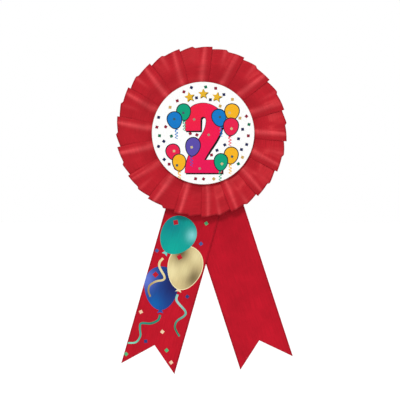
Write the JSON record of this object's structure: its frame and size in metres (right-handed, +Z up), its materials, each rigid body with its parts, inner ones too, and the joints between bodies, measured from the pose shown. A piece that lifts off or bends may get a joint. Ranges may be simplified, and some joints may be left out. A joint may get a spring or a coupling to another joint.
{
  "type": "award ribbon rosette",
  "caption": "Party award ribbon: round printed card in a pleated satin frill, two swallow-tailed ribbons below, brooch pin with a turning safety catch behind.",
  "frame": {"origin": "middle of the round stretch of the pin stem, where the wearer's cloth sits, with the pin closed", "axes": "+Z up as worn, +X to the right of someone who reads the badge, -Y towards that reader, +Y into the wearer's cloth"},
  "size_m": [0.0832, 0.0126, 0.1536],
  "materials": {
    "label_paper": "gloss",
    "greyboard": "matte",
    "foam": "matte",
    "satin": "satin",
    "printed_satin": "satin",
    "thread": "matte",
    "glue": "satin",
    "staple_wire": "satin",
    "nickel_steel": "satin",
    "spring_steel": "satin"
  },
  "bodies": {
    "rosette": {"label": "label_paper", "face_card": "greyboard", "face_pad": "foam", "frill": "satin", "frill_thread": "thread", "frill_glue": "glue", "left_tail_upper": "printed_satin", "right_tail_upper": "satin", "tail_staples": "staple_wire", "base_card": "greyboard", "cover_card": "greyboard", "cover_glue": "glue", "pin_tape": "foam", "pin_bar": "nickel_steel", "pin_rivet": "nickel_steel"},
    "left_tail": {"left_tail_lower": "printed_satin"},
    "right_tail": {"right_tail_lower": "satin"},
    "pin_arm": {"pin_stem": "spring_steel"},
    "catch": {"pin_catch": "nickel_steel"}
  },
  "joints": [
    {"name": "pin_open", "type": "hinge", "parent": "rosette", "child": "pin_arm", "pos_m": [0.0115, 0, 0], "axis": [0, 0, -1], "range_deg": [0, 100]},
    {"name": "catch_turn", "type": "hinge", "parent": "rosette", "child": "catch", "pos_m": [-0.01285, 0, 0], "axis": [-1, 0, 0], "range_deg": [0, 100]},
    {"name": "left_tail_flap", "type": "hinge", "parent": "rosette", "child": "left_tail", "pos_m": [-0.01208, -0.005, -0.07012], "axis": [0.9613, 0, -0.2756], "range_deg": [-80, 80]},
    {"name": "right_tail_flap", "type": "hinge", "parent": "rosette", "child": "right_tail", "pos_m": [0.01482, -0.00465, -0.06965], "axis": [0.9511, 0, 0.309], "range_deg": [-80, 80]}
  ]
}
